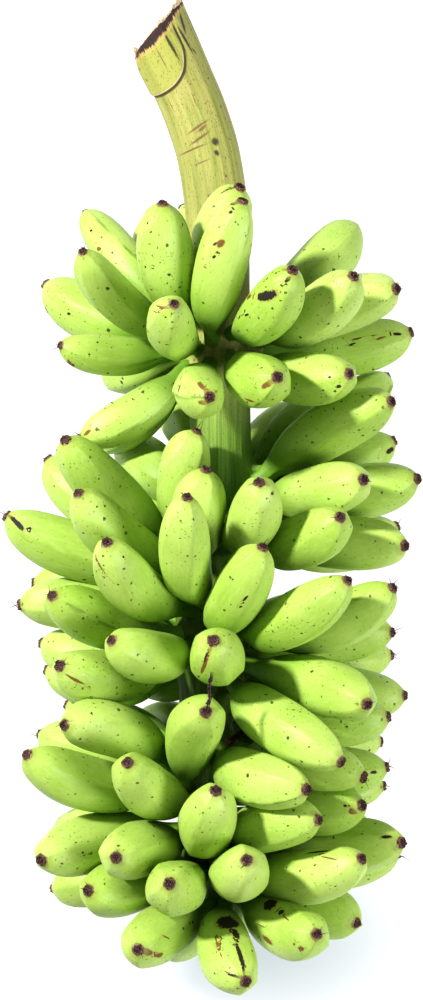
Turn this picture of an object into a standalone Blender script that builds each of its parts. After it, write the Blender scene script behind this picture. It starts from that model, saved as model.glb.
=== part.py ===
"""A whole bunch of small green bananas, lying on its back on a flat surface.

The stalk runs along Y with its cut end at +Y. Six hands of fingers grow round it, and each finger
leaves the crown of its hand sideways and bends up towards the cut end. Neighbouring fingers of a hand
are joined in pairs where their short stems meet in the crown. Metres, +Z up.
"""

import math

import bpy
import numpy as np
from mathutils import Vector

# Driving sizes, in metres.
FINGER_RADIUS = 0.019
FINGER_GIRTH = (0.30, 0.37, 0.82, 1.00, 0.97, 0.72, 0.24)
FINGER_STATIONS = (0.0, 0.13, 0.28, 0.48, 0.72, 0.90, 1.0)
FINGER_SAG = 0.09
STEM_LEAVES_AXIS_AT = 0.030
CROWN_SWELL = 0.004
STEM_CLEARANCE = 0.0012
STEM_PITCH = 0.0135
PAIR_PITCH = (0.0145, 0.024)
LYING_HEIGHT = 0.126
GAP = 0.0007
STATIONS_IN_CROWN = 1.5
FINGER_ROUNDING = 2
STALK_ROUNDING = 4

# How the fingers settle against each other: turns, how firmly each keeps its own shape early and
# late, the share of the turns that pull it home, and the share of a push that a front finger takes.
SETTLING_TURNS = 260
SHAPE_KEPT = (0.75, 0.35)
LATE_FROM = 0.7
PULLED_HOME_UNTIL = 0.45
PULL_HOME = 0.02
FRONT_MOBILITY = 0.35
FRONT_FACING = 0.2
NEIGHBOUR_REACH = 0.010
NEIGHBOURS_KEPT_FOR = 10
SLIMMING_TURNS = 40
SLIMMING_DONE = 1e-5
SLIMMING_MARGIN = 1.02
STEM_SPREADING_TURNS = 400
STEM_PUSH = 0.35
PAIR_PULL = 0.25
TOO_SMALL = 1e-6

# The stalk's axis from its thin lower end to the cut: sideways, along, radius.
STALK_LINE = (
    (0.008, 0.040, 0.008),
    (0.005, 0.068, 0.012),
    (-0.005, 0.100, 0.015),
    (-0.008, 0.134, 0.017),
    (-0.008, 0.180, 0.018),
    (-0.002, 0.246, 0.019),
    (0.003, 0.309, 0.020),
    (0.004, 0.379, 0.021),
    (0.003, 0.453, 0.021),
    (0.002, 0.512, 0.022),
    (0.001, 0.549, 0.022),
    (-0.002, 0.572, 0.022),
    (-0.007, 0.596, 0.022),
    (-0.015, 0.619, 0.022),
    (-0.025, 0.642, 0.022),
    (-0.034, 0.661, 0.023),
    (-0.0436, 0.6814, 0.023),
)
STALK_RINGS = 44

# Fingers of each hand, from the cut end down, neighbours together: bearing of the tip round the stalk
# (0 is up, 90 is +X), crown height, rise towards the cut end, length, and how far round the stem sits
# from the tip. Degrees and millimetres.
HANDS = (
    (
        ((-153, 466, 57, 101, 0), (-147, 465, 60, 108, 0)),
        ((-130, 465, 45, 122, 0), (-110, 463, 26, 105, 0)),
        ((-39, 463, 39, 110, 0), (-27, 466, 47, 99, 0)),
        ((11, 469, 63, 97, -30), (16, 458, 64, 118, -32)),
        ((25, 459, 35, 106, 0), (42, 458, 23, 111, 0)),
        ((53, 457, 22, 110, 0), (94, 450, 11, 107, 0)),
        ((125, 466, 41, 116, 0), (148, 458, 8, 98, 0)),
        ((-71, 448, 4, 87, 0), (-56, 436, -42, 90, 0)),
        ((-130, 440, -36, 95, 0), (-148, 446, -8, 95, 0)),
        ((-13, 448, 18, 105, -10), (-3, 442, -13, 98, -15)),
        ((17, 443, -5, 98, 0), (45, 440, -5, 97, 0)),
        ((170, 452, 10, 95, 0), (-172, 448, 5, 95, 0)),
    ),
    (
        ((142, 358, 34, 102, 0), (174, 350, 15, 95, 0)),
        ((136, 360, 31, 110, 0), (112, 361, 38, 120, 0)),
        ((108, 351, 26, 107, 0), (79, 345, 9, 110, 0)),
        ((59, 358, 28, 121, 0), (50, 344, 6, 101, 0)),
        ((66, 319, 1, 108, 0), (111, 318, 4, 105, 0)),
        ((31, 311, 25, 108, 0), (10, 311, 34, 98, 0)),
        ((5, 304, 46, 88, -35), (2, 312, 57, 77, -50)),
        ((-53, 312, 42, 122, 0), (-106, 316, 31, 112, 0)),
        ((-83, 297, 13, 124, 0), (-46, 297, 32, 114, 0)),
        ((-157, 360, 33, 100, 0), (-147, 342, 26, 100, 0)),
        ((-152, 322, 20, 100, 0), (-172, 318, 5, 95, 0)),
        ((150, 328, 2, 95, 0), (172, 322, 0, 95, 0)),
    ),
    (
        ((-30, 270, 42, 118, 0), (-9, 271, 54, 121, -15)),
        ((16, 253, 39, 111, -15), (40, 253, 22, 122, 0)),
        ((56, 251, 12, 119, 0), (69, 241, 10, 100, 0)),
        ((98, 235, 0, 104, 0), (134, 242, 8, 98, 0)),
        ((-114, 261, 14, 111, 0), (-92, 250, 9, 107, 0)),
        ((-48, 250, 17, 117, 0), (-40, 234, 9, 113, 0)),
        ((-98, 236, 18, 91, 0), (-120, 226, -4, 102, 0)),
        ((-32, 240, 0, 99, 0), (-3, 240, 20, 99, -20)),
        ((47, 230, -10, 127, 0), (39, 216, -27, 124, 0)),
        ((79, 223, 0, 108, 0), (69, 212, -13, 104, 0)),
        ((103, 206, -13, 107, 0), (140, 214, -5, 98, 0)),
        ((164, 242, 12, 95, 0), (-170, 240, 10, 95, 0)),
        ((-144, 242, 5, 98, 0), (-158, 222, 0, 95, 0)),
    ),
    (
        ((-127, 175, 21, 101, 0), (-116, 162, 19, 93, 0)),
        ((-39, 158, 13, 114, 0), (-52, 141, 17, 124, 0)),
        ((-24, 140, 24, 111, 0), (6, 142, 31, 112, -35)),
        ((38, 168, -10, 111, 0), (47, 148, 1, 109, 0)),
        ((52, 162, -6, 106, 0), (78, 168, -7, 100, 0)),
        ((97, 156, 7, 103, 0), (132, 156, 2, 96, 0)),
        ((-123, 135, -20, 104, 0), (-144, 148, 0, 98, 0)),
        ((160, 150, 6, 95, 0), (-168, 150, 5, 95, 0)),
        ((148, 178, 14, 95, 0), (-150, 178, 18, 95, 0)),
    ),
    (
        ((-40, 113, -12, 114, 0), (-44, 93, 5, 91, 0)),
        ((-24, 109, -5, 104, 0), (-16, 91, 10, 105, 10)),
        ((0, 107, 21, 105, -15), (6, 92, 16, 105, -10)),
        ((37, 102, 29, 111, 0), (43, 88, 5, 114, 0)),
        ((64, 99, 9, 115, 0), (97, 97, 13, 105, 0)),
        ((112, 102, 0, 104, 0), (136, 96, 2, 98, 0)),
        ((-112, 104, -4, 88, 0), (-140, 98, 0, 92, 0)),
        ((162, 100, 2, 95, 0), (-166, 96, 0, 95, 0)),
    ),
    (
        ((-14, 63, 11, 101, 0), (13, 65, -14, 98, 0)),
        ((28, 66, -7, 105, 0), (46, 65, -2, 79, 0)),
        ((172, 66, -8, 86, 0), (-166, 58, -18, 86, 0)),
    ),
)

STALK_COLOUR = (0.33, 0.42, 0.10, 1.0)
GREENS = ((0.42, 0.64, 0.09), (0.36, 0.58, 0.07), (0.47, 0.68, 0.13))


def clear_scene():
    for obj in list(bpy.data.objects):
        bpy.data.objects.remove(obj, do_unlink=True)


def material(name, colour, roughness):
    made = bpy.data.materials.new(name)
    made.use_nodes = True
    shader = made.node_tree.nodes["Principled BSDF"]
    shader.inputs["Base Color"].default_value = colour
    shader.inputs["Roughness"].default_value = roughness
    shader.inputs["Metallic"].default_value = 0.0
    return made


def tube(name, points, radii, resolution, collection, finish):
    """A tube through the points with its own radius at each and flat ends."""
    curve = bpy.data.curves.new(name, "CURVE")
    curve.dimensions = "3D"
    curve.bevel_depth = FINGER_RADIUS
    curve.bevel_resolution = resolution
    curve.use_fill_caps = True
    spline = curve.splines.new("POLY")
    spline.points.add(len(points) - 1)
    for place, point, radius in zip(spline.points, points, radii):
        place.co = (*map(float, point), 1.0)
        place.radius = float(radius) / FINGER_RADIUS
    spline.use_smooth = True
    curve.materials.append(finish)
    obj = bpy.data.objects.new(name, curve)
    collection.objects.link(obj)
    return obj


# The stalk


def smooth_stalk():
    """Rings of the stalk read from its line, with a cushion where each hand sits."""
    line = np.array(STALK_LINE)
    along = line[:, 1]
    at = np.linspace(along[0], along[-1], STALK_RINGS)
    soft = np.array([-0.004, 0.0, 0.004])
    side = sum(np.interp(at + step, along, line[:, 0]) for step in soft) / len(soft)
    radius = np.interp(at, along, line[:, 2])
    for hand in HANDS:
        heights = np.array([finger[1] for pair in hand for finger in pair]) / 1000
        middle = heights.mean()
        spread = heights.std() + 0.010
        radius = radius + CROWN_SWELL * np.exp(-(((at - middle) / spread) ** 2))
    return np.stack([side, at, np.zeros_like(at)], axis=1), radius


def stalk_at(points, radii, along):
    """Middle and radius of the stalk at a distance along it."""
    side = np.interp(along, points[:, 1], points[:, 0])
    radius = np.interp(along, points[:, 1], radii)
    return side, radius


# Where the short stems of the fingers sit on the crowns


def spread_stems(fingers, girth):
    """Moves the stems apart over the unrolled crown until each has room, pairs staying together."""
    bearing = np.radians([f[0] + f[4] for f in fingers])
    place = np.stack([bearing * girth, [f[1] / 1000 for f in fingers]], axis=1)
    wrap = 2 * math.pi * girth
    count = len(place)
    partner = np.arange(count) ^ 1
    for _ in range(STEM_SPREADING_TURNS):
        middle = (place + place[partner]) / 2
        turn = place[partner, 0] - place[:, 0]
        turn -= wrap * np.round(turn / wrap)
        middle[:, 0] = place[:, 0] + turn / 2
        every = np.concatenate([place, middle[::2]])
        owner = np.concatenate([np.arange(count) // 2, np.arange(count // 2)])
        offset = every[:, None] - every[None]
        offset[..., 0] -= wrap * np.round(offset[..., 0] / wrap)
        apart = np.linalg.norm(offset, axis=2)
        short = np.clip(STEM_PITCH - apart, 0, None) * (owner[:, None] != owner[None])
        away = offset / np.maximum(apart, TOO_SMALL)[..., None]
        push = STEM_PUSH * (away * short[..., None]).sum(axis=1)
        move = push[:count]
        move += np.repeat(push[count:], 2, axis=0)
        toward = np.stack([turn, place[partner, 1] - place[:, 1]], axis=1)
        reach = np.linalg.norm(toward, axis=1)[:, None]
        wanted = np.clip(reach, *PAIR_PITCH)
        move += PAIR_PULL * toward / np.maximum(reach, TOO_SMALL) * (reach - wanted)
        place = place + move
    return place[:, 0] / girth, place[:, 1]


# The fingers' middle lines


def bowed(base, tip):
    """Points of a finger's middle line from its stem to its tip, bowed away from the cut end."""
    chord = tip - base
    length = np.linalg.norm(chord, axis=1, keepdims=True)
    chord_way = chord / length
    up_stalk = np.array([0.0, 1.0, 0.0])
    below = chord_way * (chord_way @ up_stalk)[:, None] - up_stalk
    below /= np.maximum(np.linalg.norm(below, axis=1, keepdims=True), 0.2)
    knee = (base + tip) / 2 + below * length * 2 * FINGER_SAG
    t = np.array(FINGER_STATIONS)[None, :, None]
    return (1 - t) ** 2 * base[:, None] + 2 * t * (1 - t) * knee[:, None] + t**2 * tip[:, None]


def turned_to_fit(rest, now):
    """The resting shape of each finger, turned about its stem to lie closest to where it is now."""
    a = rest - rest[:, :1]
    b = now - now[:, :1]
    u, _, vt = np.linalg.svd(np.einsum("nki,nkj->nij", a, b))
    hand = np.linalg.det(u @ vt)
    u[:, :, 2] *= hand[:, None]
    return now[:, :1] + a @ (u @ vt)


class Web:
    """The fingers as links between stations, with a short bridge in the crown between each two of a pair."""

    def __init__(self, fingers, stations, steps):
        number = np.arange(fingers * stations).reshape(fingers, stations)
        along = np.stack([number[:, :-1].ravel(), number[:, 1:].ravel()], axis=1)
        bridge = np.stack([number[0::2, 0], number[1::2, 0]], axis=1)
        links = np.concatenate([along, bridge])
        share = np.linspace(0, 1, steps + 1)
        self.first = np.repeat(links[:, 0], steps + 1)
        self.last = np.repeat(links[:, 1], steps + 1)
        self.share = np.tile(share, len(links))
        level = np.tile(np.arange(stations), fingers)
        on_bridge = np.repeat(np.arange(len(links)) >= len(along), steps + 1)
        self.level = np.where(on_bridge, 0, level[self.first] + self.share)
        self.pair = self.first // (2 * stations)
        self.owner = np.where(on_bridge, -1 - self.pair, self.first // stations)

    def read(self, values):
        """Values of the stations, read at every place on the links."""
        share = self.share if values.ndim == 1 else self.share[:, None]
        return values[self.first] * (1 - share) + values[self.last] * share

    def near(self, spots, sizes, reach):
        """Every two places on different fingers that lie closer than their radii and reach."""
        found = []
        crown = STATIONS_IN_CROWN
        order = np.arange(len(spots))
        for start in range(0, len(spots), 400):
            block = slice(start, start + 400)
            apart = np.linalg.norm(spots[block, None] - spots[None], axis=2)
            close = apart < sizes[block, None] + sizes[None] + reach
            close &= order[block, None] < order[None]
            close &= self.owner[block, None] != self.owner[None]
            joined = self.pair[block, None] == self.pair[None]
            joined &= np.minimum(self.level[block, None], self.level[None]) < crown
            first, second = np.nonzero(close & ~joined)
            found.append(np.stack([first + start, second], axis=1))
        return np.concatenate(found)

    def give_back(self, move, count):
        """Moves of the places, shared out to the stations at the two ends of their links."""
        total = np.zeros((count, 3))
        weight = np.zeros(count)
        active = np.linalg.norm(move, axis=1) > 0
        for end, part in ((self.first, 1 - self.share), (self.last, self.share)):
            np.add.at(total, end, move * part[:, None])
            np.add.at(weight, end, part * active)
        return total / np.maximum(weight, 1)[:, None]


def clear_of_stalk(spots, sizes, stalk_points, stalk_radii):
    """How far each place lies inside the stalk, and the way out of it."""
    side, thick = stalk_at(stalk_points, stalk_radii, spots[:, 1])
    out = np.stack([spots[:, 0] - side, np.zeros_like(side), spots[:, 2]], axis=1)
    off = np.maximum(np.linalg.norm(out, axis=1), TOO_SMALL)
    inside = np.clip(thick + sizes + GAP - off, 0, None)
    return inside * (spots[:, 1] > stalk_points[0, 1] - 0.01), out / off[:, None]


def settle(rest, radii, stalk_points, stalk_radii, mobile):
    """Lets the fingers push each other apart, off the stalk and off the surface below."""
    now = rest.copy()
    fingers, stations, _ = rest.shape
    length = np.linalg.norm(np.diff(rest, axis=1), axis=2)
    web = Web(fingers, stations, 2)
    sizes = web.read(radii.ravel())
    weight = mobile[np.maximum(web.owner, 0)] * (web.owner >= 0) * (web.level > 0) + 1e-3
    for turn in range(SETTLING_TURNS):
        spots = web.read(now.reshape(-1, 3))
        if turn % NEIGHBOURS_KEPT_FOR == 0:
            a, b = web.near(spots, sizes, NEIGHBOUR_REACH).T
        offset = spots[a] - spots[b]
        apart = np.maximum(np.linalg.norm(offset, axis=1), TOO_SMALL)
        short = np.clip(sizes[a] + sizes[b] + GAP - apart, 0, None)
        push = offset / apart[:, None] * short[:, None]
        share = (weight[a] / (weight[a] + weight[b]))[:, None]
        move = np.zeros_like(spots)
        hits = np.zeros(len(spots))
        np.add.at(move, a, push * share)
        np.add.at(move, b, -push * (1 - share))
        np.add.at(hits, a, short > 0)
        np.add.at(hits, b, short > 0)
        move /= np.maximum(hits, 1)[:, None] ** 0.5
        inside, way_out = clear_of_stalk(spots, sizes, stalk_points, stalk_radii)
        move += way_out * inside[:, None]
        move[:, 2] += np.clip(sizes - LYING_HEIGHT - spots[:, 2], 0, None)
        shift = web.give_back(move, fingers * stations).reshape(rest.shape)
        shift[:, 0] = 0
        now += shift
        fitted = turned_to_fit(rest, now)
        late = turn > LATE_FROM * SETTLING_TURNS
        now[:, 1:] += SHAPE_KEPT[late] * (fitted - now)[:, 1:]
        if turn < PULLED_HOME_UNTIL * SETTLING_TURNS:
            now[:, 1:] += PULL_HOME * (rest - now)[:, 1:]
        for k in range(stations - 1):
            step = now[:, k + 1] - now[:, k]
            size = np.linalg.norm(step, axis=1)
            now[:, k + 1] = now[:, k] + step * (length[:, k] / size)[:, None]
    return now


def slimmed(points, radii, stalk_points, stalk_radii):
    """Radii cut down wherever a finger still comes too close to another, the stalk or the surface."""
    fingers, stations = radii.shape
    web = Web(fingers, stations, 5)
    radii = radii.ravel().copy()
    spots = web.read(points.reshape(-1, 3))
    for _ in range(SLIMMING_TURNS):
        sizes = web.read(radii)
        a, b = web.near(spots, sizes, GAP).T
        short = sizes[a] + sizes[b] + GAP - np.linalg.norm(spots[a] - spots[b], axis=1)
        excess, _ = clear_of_stalk(spots, sizes, stalk_points, stalk_radii)
        excess = np.maximum(excess, sizes - LYING_HEIGHT - spots[:, 2])
        np.maximum.at(excess, a, short / 2)
        np.maximum.at(excess, b, short / 2)
        if excess.max() < SLIMMING_DONE:
            break
        cut = np.zeros_like(radii)
        for end, part in ((web.first, 1 - web.share), (web.last, web.share)):
            np.maximum.at(cut, end, np.clip(excess, 0, None) * SLIMMING_MARGIN * (part > 0))
        radii -= cut
    return radii.reshape(fingers, stations)


def grow_fingers(stalk_points, stalk_radii):
    """Middle lines and radii of all the fingers, in the order of HANDS."""
    fingers = [finger for hand in HANDS for pair in hand for finger in pair]
    bearing = np.radians([f[0] for f in fingers])
    rise = np.radians([f[2] for f in fingers])
    length = np.array([f[3] for f in fingers]) / 1000
    stem_bearing, along = spread_stems(fingers, STEM_LEAVES_AXIS_AT)
    side, thick = stalk_at(stalk_points, stalk_radii, along)
    stem_radius = FINGER_RADIUS * FINGER_GIRTH[0]
    out = thick + stem_radius + STEM_CLEARANCE
    base = np.stack([side + out * np.sin(stem_bearing), along, out * np.cos(stem_bearing)], axis=1)
    reach = STEM_LEAVES_AXIS_AT + length * np.cos(rise)
    tip = np.stack(
        [side + reach * np.sin(bearing), along + length * np.sin(rise), reach * np.cos(bearing)],
        axis=1,
    )
    rest = bowed(base, tip)
    radii = np.repeat(FINGER_RADIUS * np.array(FINGER_GIRTH)[None], len(fingers), axis=0)
    mobile = np.where(np.cos(bearing) > FRONT_FACING, FRONT_MOBILITY, 1.0)
    points = settle(rest, radii, stalk_points, stalk_radii, mobile)
    return points, slimmed(points, radii, stalk_points, stalk_radii)


def lowest_and_highest(objects):
    """Corners of the box round the objects as they are built."""
    graph = bpy.context.evaluated_depsgraph_get()
    corners = []
    for obj in objects:
        shape = obj.evaluated_get(graph)
        mesh = shape.to_mesh()
        corners += [shape.matrix_world @ vertex.co for vertex in mesh.vertices]
        shape.to_mesh_clear()
    low = Vector([min(c[k] for c in corners) for k in range(3)])
    high = Vector([max(c[k] for c in corners) for k in range(3)])
    return low, high


def build():
    clear_scene()
    bunch = bpy.data.collections.new("bunch_of_bananas")
    bpy.context.scene.collection.children.link(bunch)
    stalk_points, stalk_radii = smooth_stalk()
    stalk_finish = material("stalk_green", STALK_COLOUR, 0.55)
    made = [tube("stalk", stalk_points, stalk_radii, STALK_ROUNDING, bunch, stalk_finish)]
    points, radii = grow_fingers(stalk_points, stalk_radii)
    first = 0
    for hand_number, hand in enumerate(HANDS, start=1):
        for pair_number in range(1, len(hand) + 1):
            name = f"hand_{hand_number}_pair_{pair_number:02d}"
            green = GREENS[(hand_number + pair_number) % len(GREENS)]
            finish = material(name + "_skin", (*green, 1.0), 0.4)
            line = np.concatenate([points[first][::-1], points[first + 1]])
            girth = np.concatenate([radii[first][::-1], radii[first + 1]])
            made.append(tube(name, line, girth, FINGER_ROUNDING, bunch, finish))
            first += 2
    low, high = lowest_and_highest(made)
    origin = bpy.data.objects.new("bunch_origin", None)
    bunch.objects.link(origin)
    origin.location = (-(low.x + high.x) / 2, -(low.y + high.y) / 2, -low.z)
    for obj in made:
        obj.parent = origin


build()
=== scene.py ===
import math

import bmesh
import bpy
import numpy as np
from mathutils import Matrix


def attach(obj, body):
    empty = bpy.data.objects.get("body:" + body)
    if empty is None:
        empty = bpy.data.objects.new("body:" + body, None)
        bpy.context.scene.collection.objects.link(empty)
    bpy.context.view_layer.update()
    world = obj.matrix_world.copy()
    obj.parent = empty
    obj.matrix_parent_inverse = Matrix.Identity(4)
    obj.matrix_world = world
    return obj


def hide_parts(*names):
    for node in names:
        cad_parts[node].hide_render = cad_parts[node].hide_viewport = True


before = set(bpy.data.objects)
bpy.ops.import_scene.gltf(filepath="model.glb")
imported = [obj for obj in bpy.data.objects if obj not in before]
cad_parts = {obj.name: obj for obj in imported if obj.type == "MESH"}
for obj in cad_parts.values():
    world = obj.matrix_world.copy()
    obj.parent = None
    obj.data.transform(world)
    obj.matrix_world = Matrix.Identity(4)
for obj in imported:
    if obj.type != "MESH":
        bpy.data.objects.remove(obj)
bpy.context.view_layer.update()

# The stalk. It is one thick fibrous stem, cut off aslant at its upper end, with a cushion of
# tissue round it where each hand of fingers grows out, and it thins to a dry lower end.
CAD_STALK_SIDES = 12
CAD_FINGER_SIDES = 8
SAME_POINT = 2e-6
SAME_FACING = 0.9999
SAME_HEIGHT = 2e-5
STALK_SIDES = 128
COARSE_STEP = 0.0025
FINE_STEP = 0.001
FINE_OVER = 0.130
CUT_NORMAL = (-0.765, 0.645, 0.0)
CUT_MIDDLE_BACK = 0.0084
CUT_BENDS_OVER = 0.070
CUSHION_HEIGHT = 0.0075
CUSHION_REACH = 0.0105
STALK_MEAN_RADIUS = 0.022
FIBRE_WAVE = 0.0003
FIBRE_RIPPLE = 0.00018
GROUND = 0.0003

# The raised flap of old leaf sheath just below the cut, as corners in millimetres down from the
# end of the stalk and degrees round from its upper side, and how high it stands.
FLAP = (
    (19, -67), (28, -92), (39, -92), (49, -90), (52, -64), (53, -38),
    (51, -11), (44, 11), (33, 23), (22, 24), (14, 19), (10, -5), (11, -40),
)
FLAP_HEIGHT = 0.0019
FLAP_ROUNDINGS = 3
FLAP_STEEPNESS = 2.5
FLAP_FADES_OVER = 0.012
FAR_MM = 99.0


def rings_of(node, sides):
    """Middle and radius of each ring of a CAD tube, from one flat end to the other."""
    mesh = bmesh.new()
    mesh.from_mesh(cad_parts[node].data)
    bmesh.ops.remove_doubles(mesh, verts=mesh.verts, dist=SAME_POINT)
    mesh.faces.ensure_lookup_table()
    normal = np.array([face.normal for face in mesh.faces])
    offset = np.array([face.normal.dot(face.verts[0].co) for face in mesh.faces])
    level = abs(offset[:, None] - offset[None]) < SAME_HEIGHT
    same_plane = (normal @ normal.T > SAME_FACING) & level
    in_end = np.nonzero(same_plane.sum(axis=1) >= sides - 2)[0]
    ring = {vert for k in np.nonzero(same_plane[in_end[0]])[0] for vert in mesh.faces[k].verts}
    seen = set(ring)
    middles = []
    radii = []
    while ring:
        points = np.array([vert.co for vert in ring])
        middle = points.mean(axis=0)
        middles.append(middle)
        radii.append(np.linalg.norm(points - middle, axis=1).mean())
        ring = {edge.other_vert(vert) for vert in ring for edge in vert.link_edges} - seen
        seen |= ring
    mesh.free()
    return np.array(middles), np.array(radii)


def smooth(values, knots, at):
    """Values read from a smooth curve through them, at places between the knots."""
    values = np.asarray(values, float)
    slopes = np.gradient(values, knots, axis=0)
    k = np.clip(np.searchsorted(knots, at, side="right") - 1, 0, len(knots) - 2)
    span = knots[k + 1] - knots[k]
    u = (at - knots[k]) / span
    shape = (slice(None),) + (None,) * (values.ndim - 1)
    u = u[shape]
    span = span[shape]
    start = (1 + 2 * u) * (1 - u) ** 2 * values[k] + u * (1 - u) ** 2 * span * slopes[k]
    end = u**2 * (3 - 2 * u) * values[k + 1] - u**2 * (1 - u) * span * slopes[k + 1]
    return start + end


def distances(points):
    """How far along a line each of its points is."""
    return np.concatenate([[0], np.cumsum(np.linalg.norm(np.diff(points, axis=0), axis=1))])


def skin_mesh(name, shells, attributes):
    """A mesh from grids of rings, each closed at both ends, with named values on its points."""
    points = []
    faces = []
    for grid in shells:
        first = sum(len(p) for p in points)
        rings, sides, _ = grid.shape
        number = first + np.arange(rings * sides).reshape(rings, sides)
        after = np.roll(number, -1, axis=1)
        quads = np.stack([number[:-1], after[:-1], after[1:], number[1:]], axis=2)
        faces += quads.reshape(-1, 4).tolist()
        faces.append(number[0, ::-1].tolist())
        faces.append(number[-1].tolist())
        points.append(grid.reshape(-1, 3))
    points = np.concatenate(points)
    points[:, 2] = np.maximum(points[:, 2], GROUND)
    mesh = bpy.data.meshes.new(name)
    mesh.from_pydata(points.tolist(), [], faces)
    mesh.shade_smooth()
    for label, values in attributes.items():
        kind = "FLOAT" if values.ndim == 1 else "FLOAT_VECTOR"
        layer = mesh.attributes.new(label, kind, "POINT")
        held_as = "value" if kind == "FLOAT" else "vector"
        layer.data.foreach_set(held_as, values.astype(np.float32).ravel())
    piece = bpy.data.objects.new(name, mesh)
    bpy.context.scene.collection.objects.link(piece)
    return piece


class Link:
    """A socket in a material, so that sums on surface values are written as sums."""

    def __init__(self, tree, socket):
        self.tree = tree
        self.socket = socket

    def node(self, kind, settings, inputs, output=0):
        """Adds a node: first its settings, then the values or links of its sockets."""
        node = self.tree.nodes.new(kind)
        for label, value in settings.items():
            setattr(node, label, value)
        for label, value in inputs.items():
            if isinstance(value, Link):
                self.tree.links.new(value.socket, node.inputs[label])
            else:
                node.inputs[label].default_value = value
        return Link(self.tree, node.outputs[output])

    def sum(self, operation, *values):
        return self.node("ShaderNodeMath", {"operation": operation}, dict(enumerate(values)))

    def __add__(self, other):
        return self.sum("ADD", self, other)

    def __radd__(self, other):
        return self.sum("ADD", other, self)

    def __sub__(self, other):
        return self.sum("SUBTRACT", self, other)

    def __rsub__(self, other):
        return self.sum("SUBTRACT", other, self)

    def __mul__(self, other):
        return self.sum("MULTIPLY", self, other)

    def __rmul__(self, other):
        return self.sum("MULTIPLY", other, self)

    def __truediv__(self, other):
        return self.sum("DIVIDE", self, other)

    def __rtruediv__(self, other):
        return self.sum("DIVIDE", other, self)

    def __pow__(self, other):
        return self.sum("POWER", self, other)

    def __gt__(self, other):
        return self.sum("GREATER_THAN", self, other)

    def rise(self, start, end):
        """Goes smoothly from 0 at start to 1 at end."""
        settings = {"interpolation_type": "SMOOTHSTEP"}
        places = {"Value": self, "From Min": start, "From Max": end}
        return self.node("ShaderNodeMapRange", settings, places)

    def fall(self, start, end):
        return 1 - self.rise(start, end)

    def mix(self, first, second):
        """Two colours mixed by this value: first at 0, second at 1."""
        return self.node("ShaderNodeMix", {"data_type": "RGBA"}, {0: self, 6: first, 7: second}, 2)

    def stretched(self, by):
        return self.node("ShaderNodeVectorMath", {"operation": "MULTIPLY"}, {0: self, 1: by})

    def moved(self, by):
        return self.node("ShaderNodeVectorMath", {"operation": "ADD"}, {0: self, 1: by})

    def length(self):
        return self.node("ShaderNodeVectorMath", {"operation": "LENGTH"}, {0: self}, "Value")

    def part(self, axis):
        return self.node("ShaderNodeSeparateXYZ", {}, {0: self}, axis)

    def clouds(self, scale, detail, rough=0.5, output="Fac"):
        """Cloudy noise from 0 to 1 at this place."""
        inputs = {"Vector": self, "Scale": scale, "Detail": detail, "Roughness": rough}
        return self.node("ShaderNodeTexNoise", {}, inputs, output)

    def cells(self, scale, output="Distance"):
        """Distance to the nearest of the scattered points, or their random colour."""
        return self.node("ShaderNodeTexVoronoi", {}, {"Vector": self, "Scale": scale}, output)


class Finish:
    """A new surface material, whose shader sockets take plain values or links."""

    def __init__(self, name, **plain):
        self.material = bpy.data.materials.new(name)
        self.material.use_nodes = True
        self.tree = self.material.node_tree
        self.shader = self.tree.nodes["Principled BSDF"]
        self.maker = Link(self.tree, None)
        self.set(**plain)

    def set(self, **values):
        for label, value in values.items():
            socket = self.shader.inputs[label.replace("_", " ").title().replace("Ior", "IOR")]
            if isinstance(value, Link):
                self.tree.links.new(value.socket, socket)
            else:
                socket.default_value = value

    def value(self, label):
        """A number that the mesh carries on its points."""
        return self.maker.node("ShaderNodeAttribute", {"attribute_name": label}, {}, "Fac")

    def vector(self, label):
        return self.maker.node("ShaderNodeAttribute", {"attribute_name": label}, {}, "Vector")

    def place(self):
        return self.maker.node("ShaderNodeTexCoord", {}, {}, "Object")

    def bumped(self, height, strength, distance):
        inputs = {"Height": height, "Strength": strength, "Distance": distance}
        return self.maker.node("ShaderNodeBump", {}, inputs, "Normal")


stalk_line, stalk_radii = rings_of("stalk", CAD_STALK_SIDES)
if stalk_line[0, 1] > stalk_line[-1, 1]:
    stalk_line = stalk_line[::-1]
    stalk_radii = stalk_radii[::-1]
stalk_knots = distances(stalk_line)


def beside_stalk(points):
    """The nearest place on the stalk's middle line, and how far along it is."""
    along = np.interp(points[:, 1], stalk_line[:, 1], stalk_knots)
    return smooth(stalk_line, stalk_knots, along), along


# The fingers are read first, because the cushions on the stalk rise to meet their stems.
fingers = []
for node in sorted(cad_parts):
    if not node.startswith("hand"):
        continue
    line, radii = rings_of(node, CAD_FINGER_SIDES)
    half = len(line) // 2
    pair = [(line[:half][::-1], radii[:half][::-1]), (line[half:], radii[half:])]
    middle, _ = beside_stalk(np.array([pair[0][0][-1], pair[1][0][-1]]))
    bearing = [math.atan2(p[0][-1, 0] - m[0], p[0][-1, 2] - m[2]) for p, m in zip(pair, middle)]
    if bearing[0] > bearing[1]:
        pair.reverse()
    for which, (points, girth) in enumerate(pair):
        fingers.append({"node": node, "which": which, "line": points, "radii": girth})

feet = np.array([finger["line"][0] for finger in fingers])
feet_middle, feet_along = beside_stalk(feet)
feet_angle = np.arctan2(feet[:, 0] - feet_middle[:, 0], feet[:, 2] - feet_middle[:, 2])

long = stalk_knots[-1]
coarse_row = np.arange(0, long - FINE_OVER, COARSE_STEP)
fine_row = np.linspace(long - FINE_OVER, long, round(FINE_OVER / FINE_STEP))
row = np.concatenate([coarse_row, fine_row])
angle = np.linspace(-math.pi, math.pi, STALK_SIDES, endpoint=False)


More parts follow.
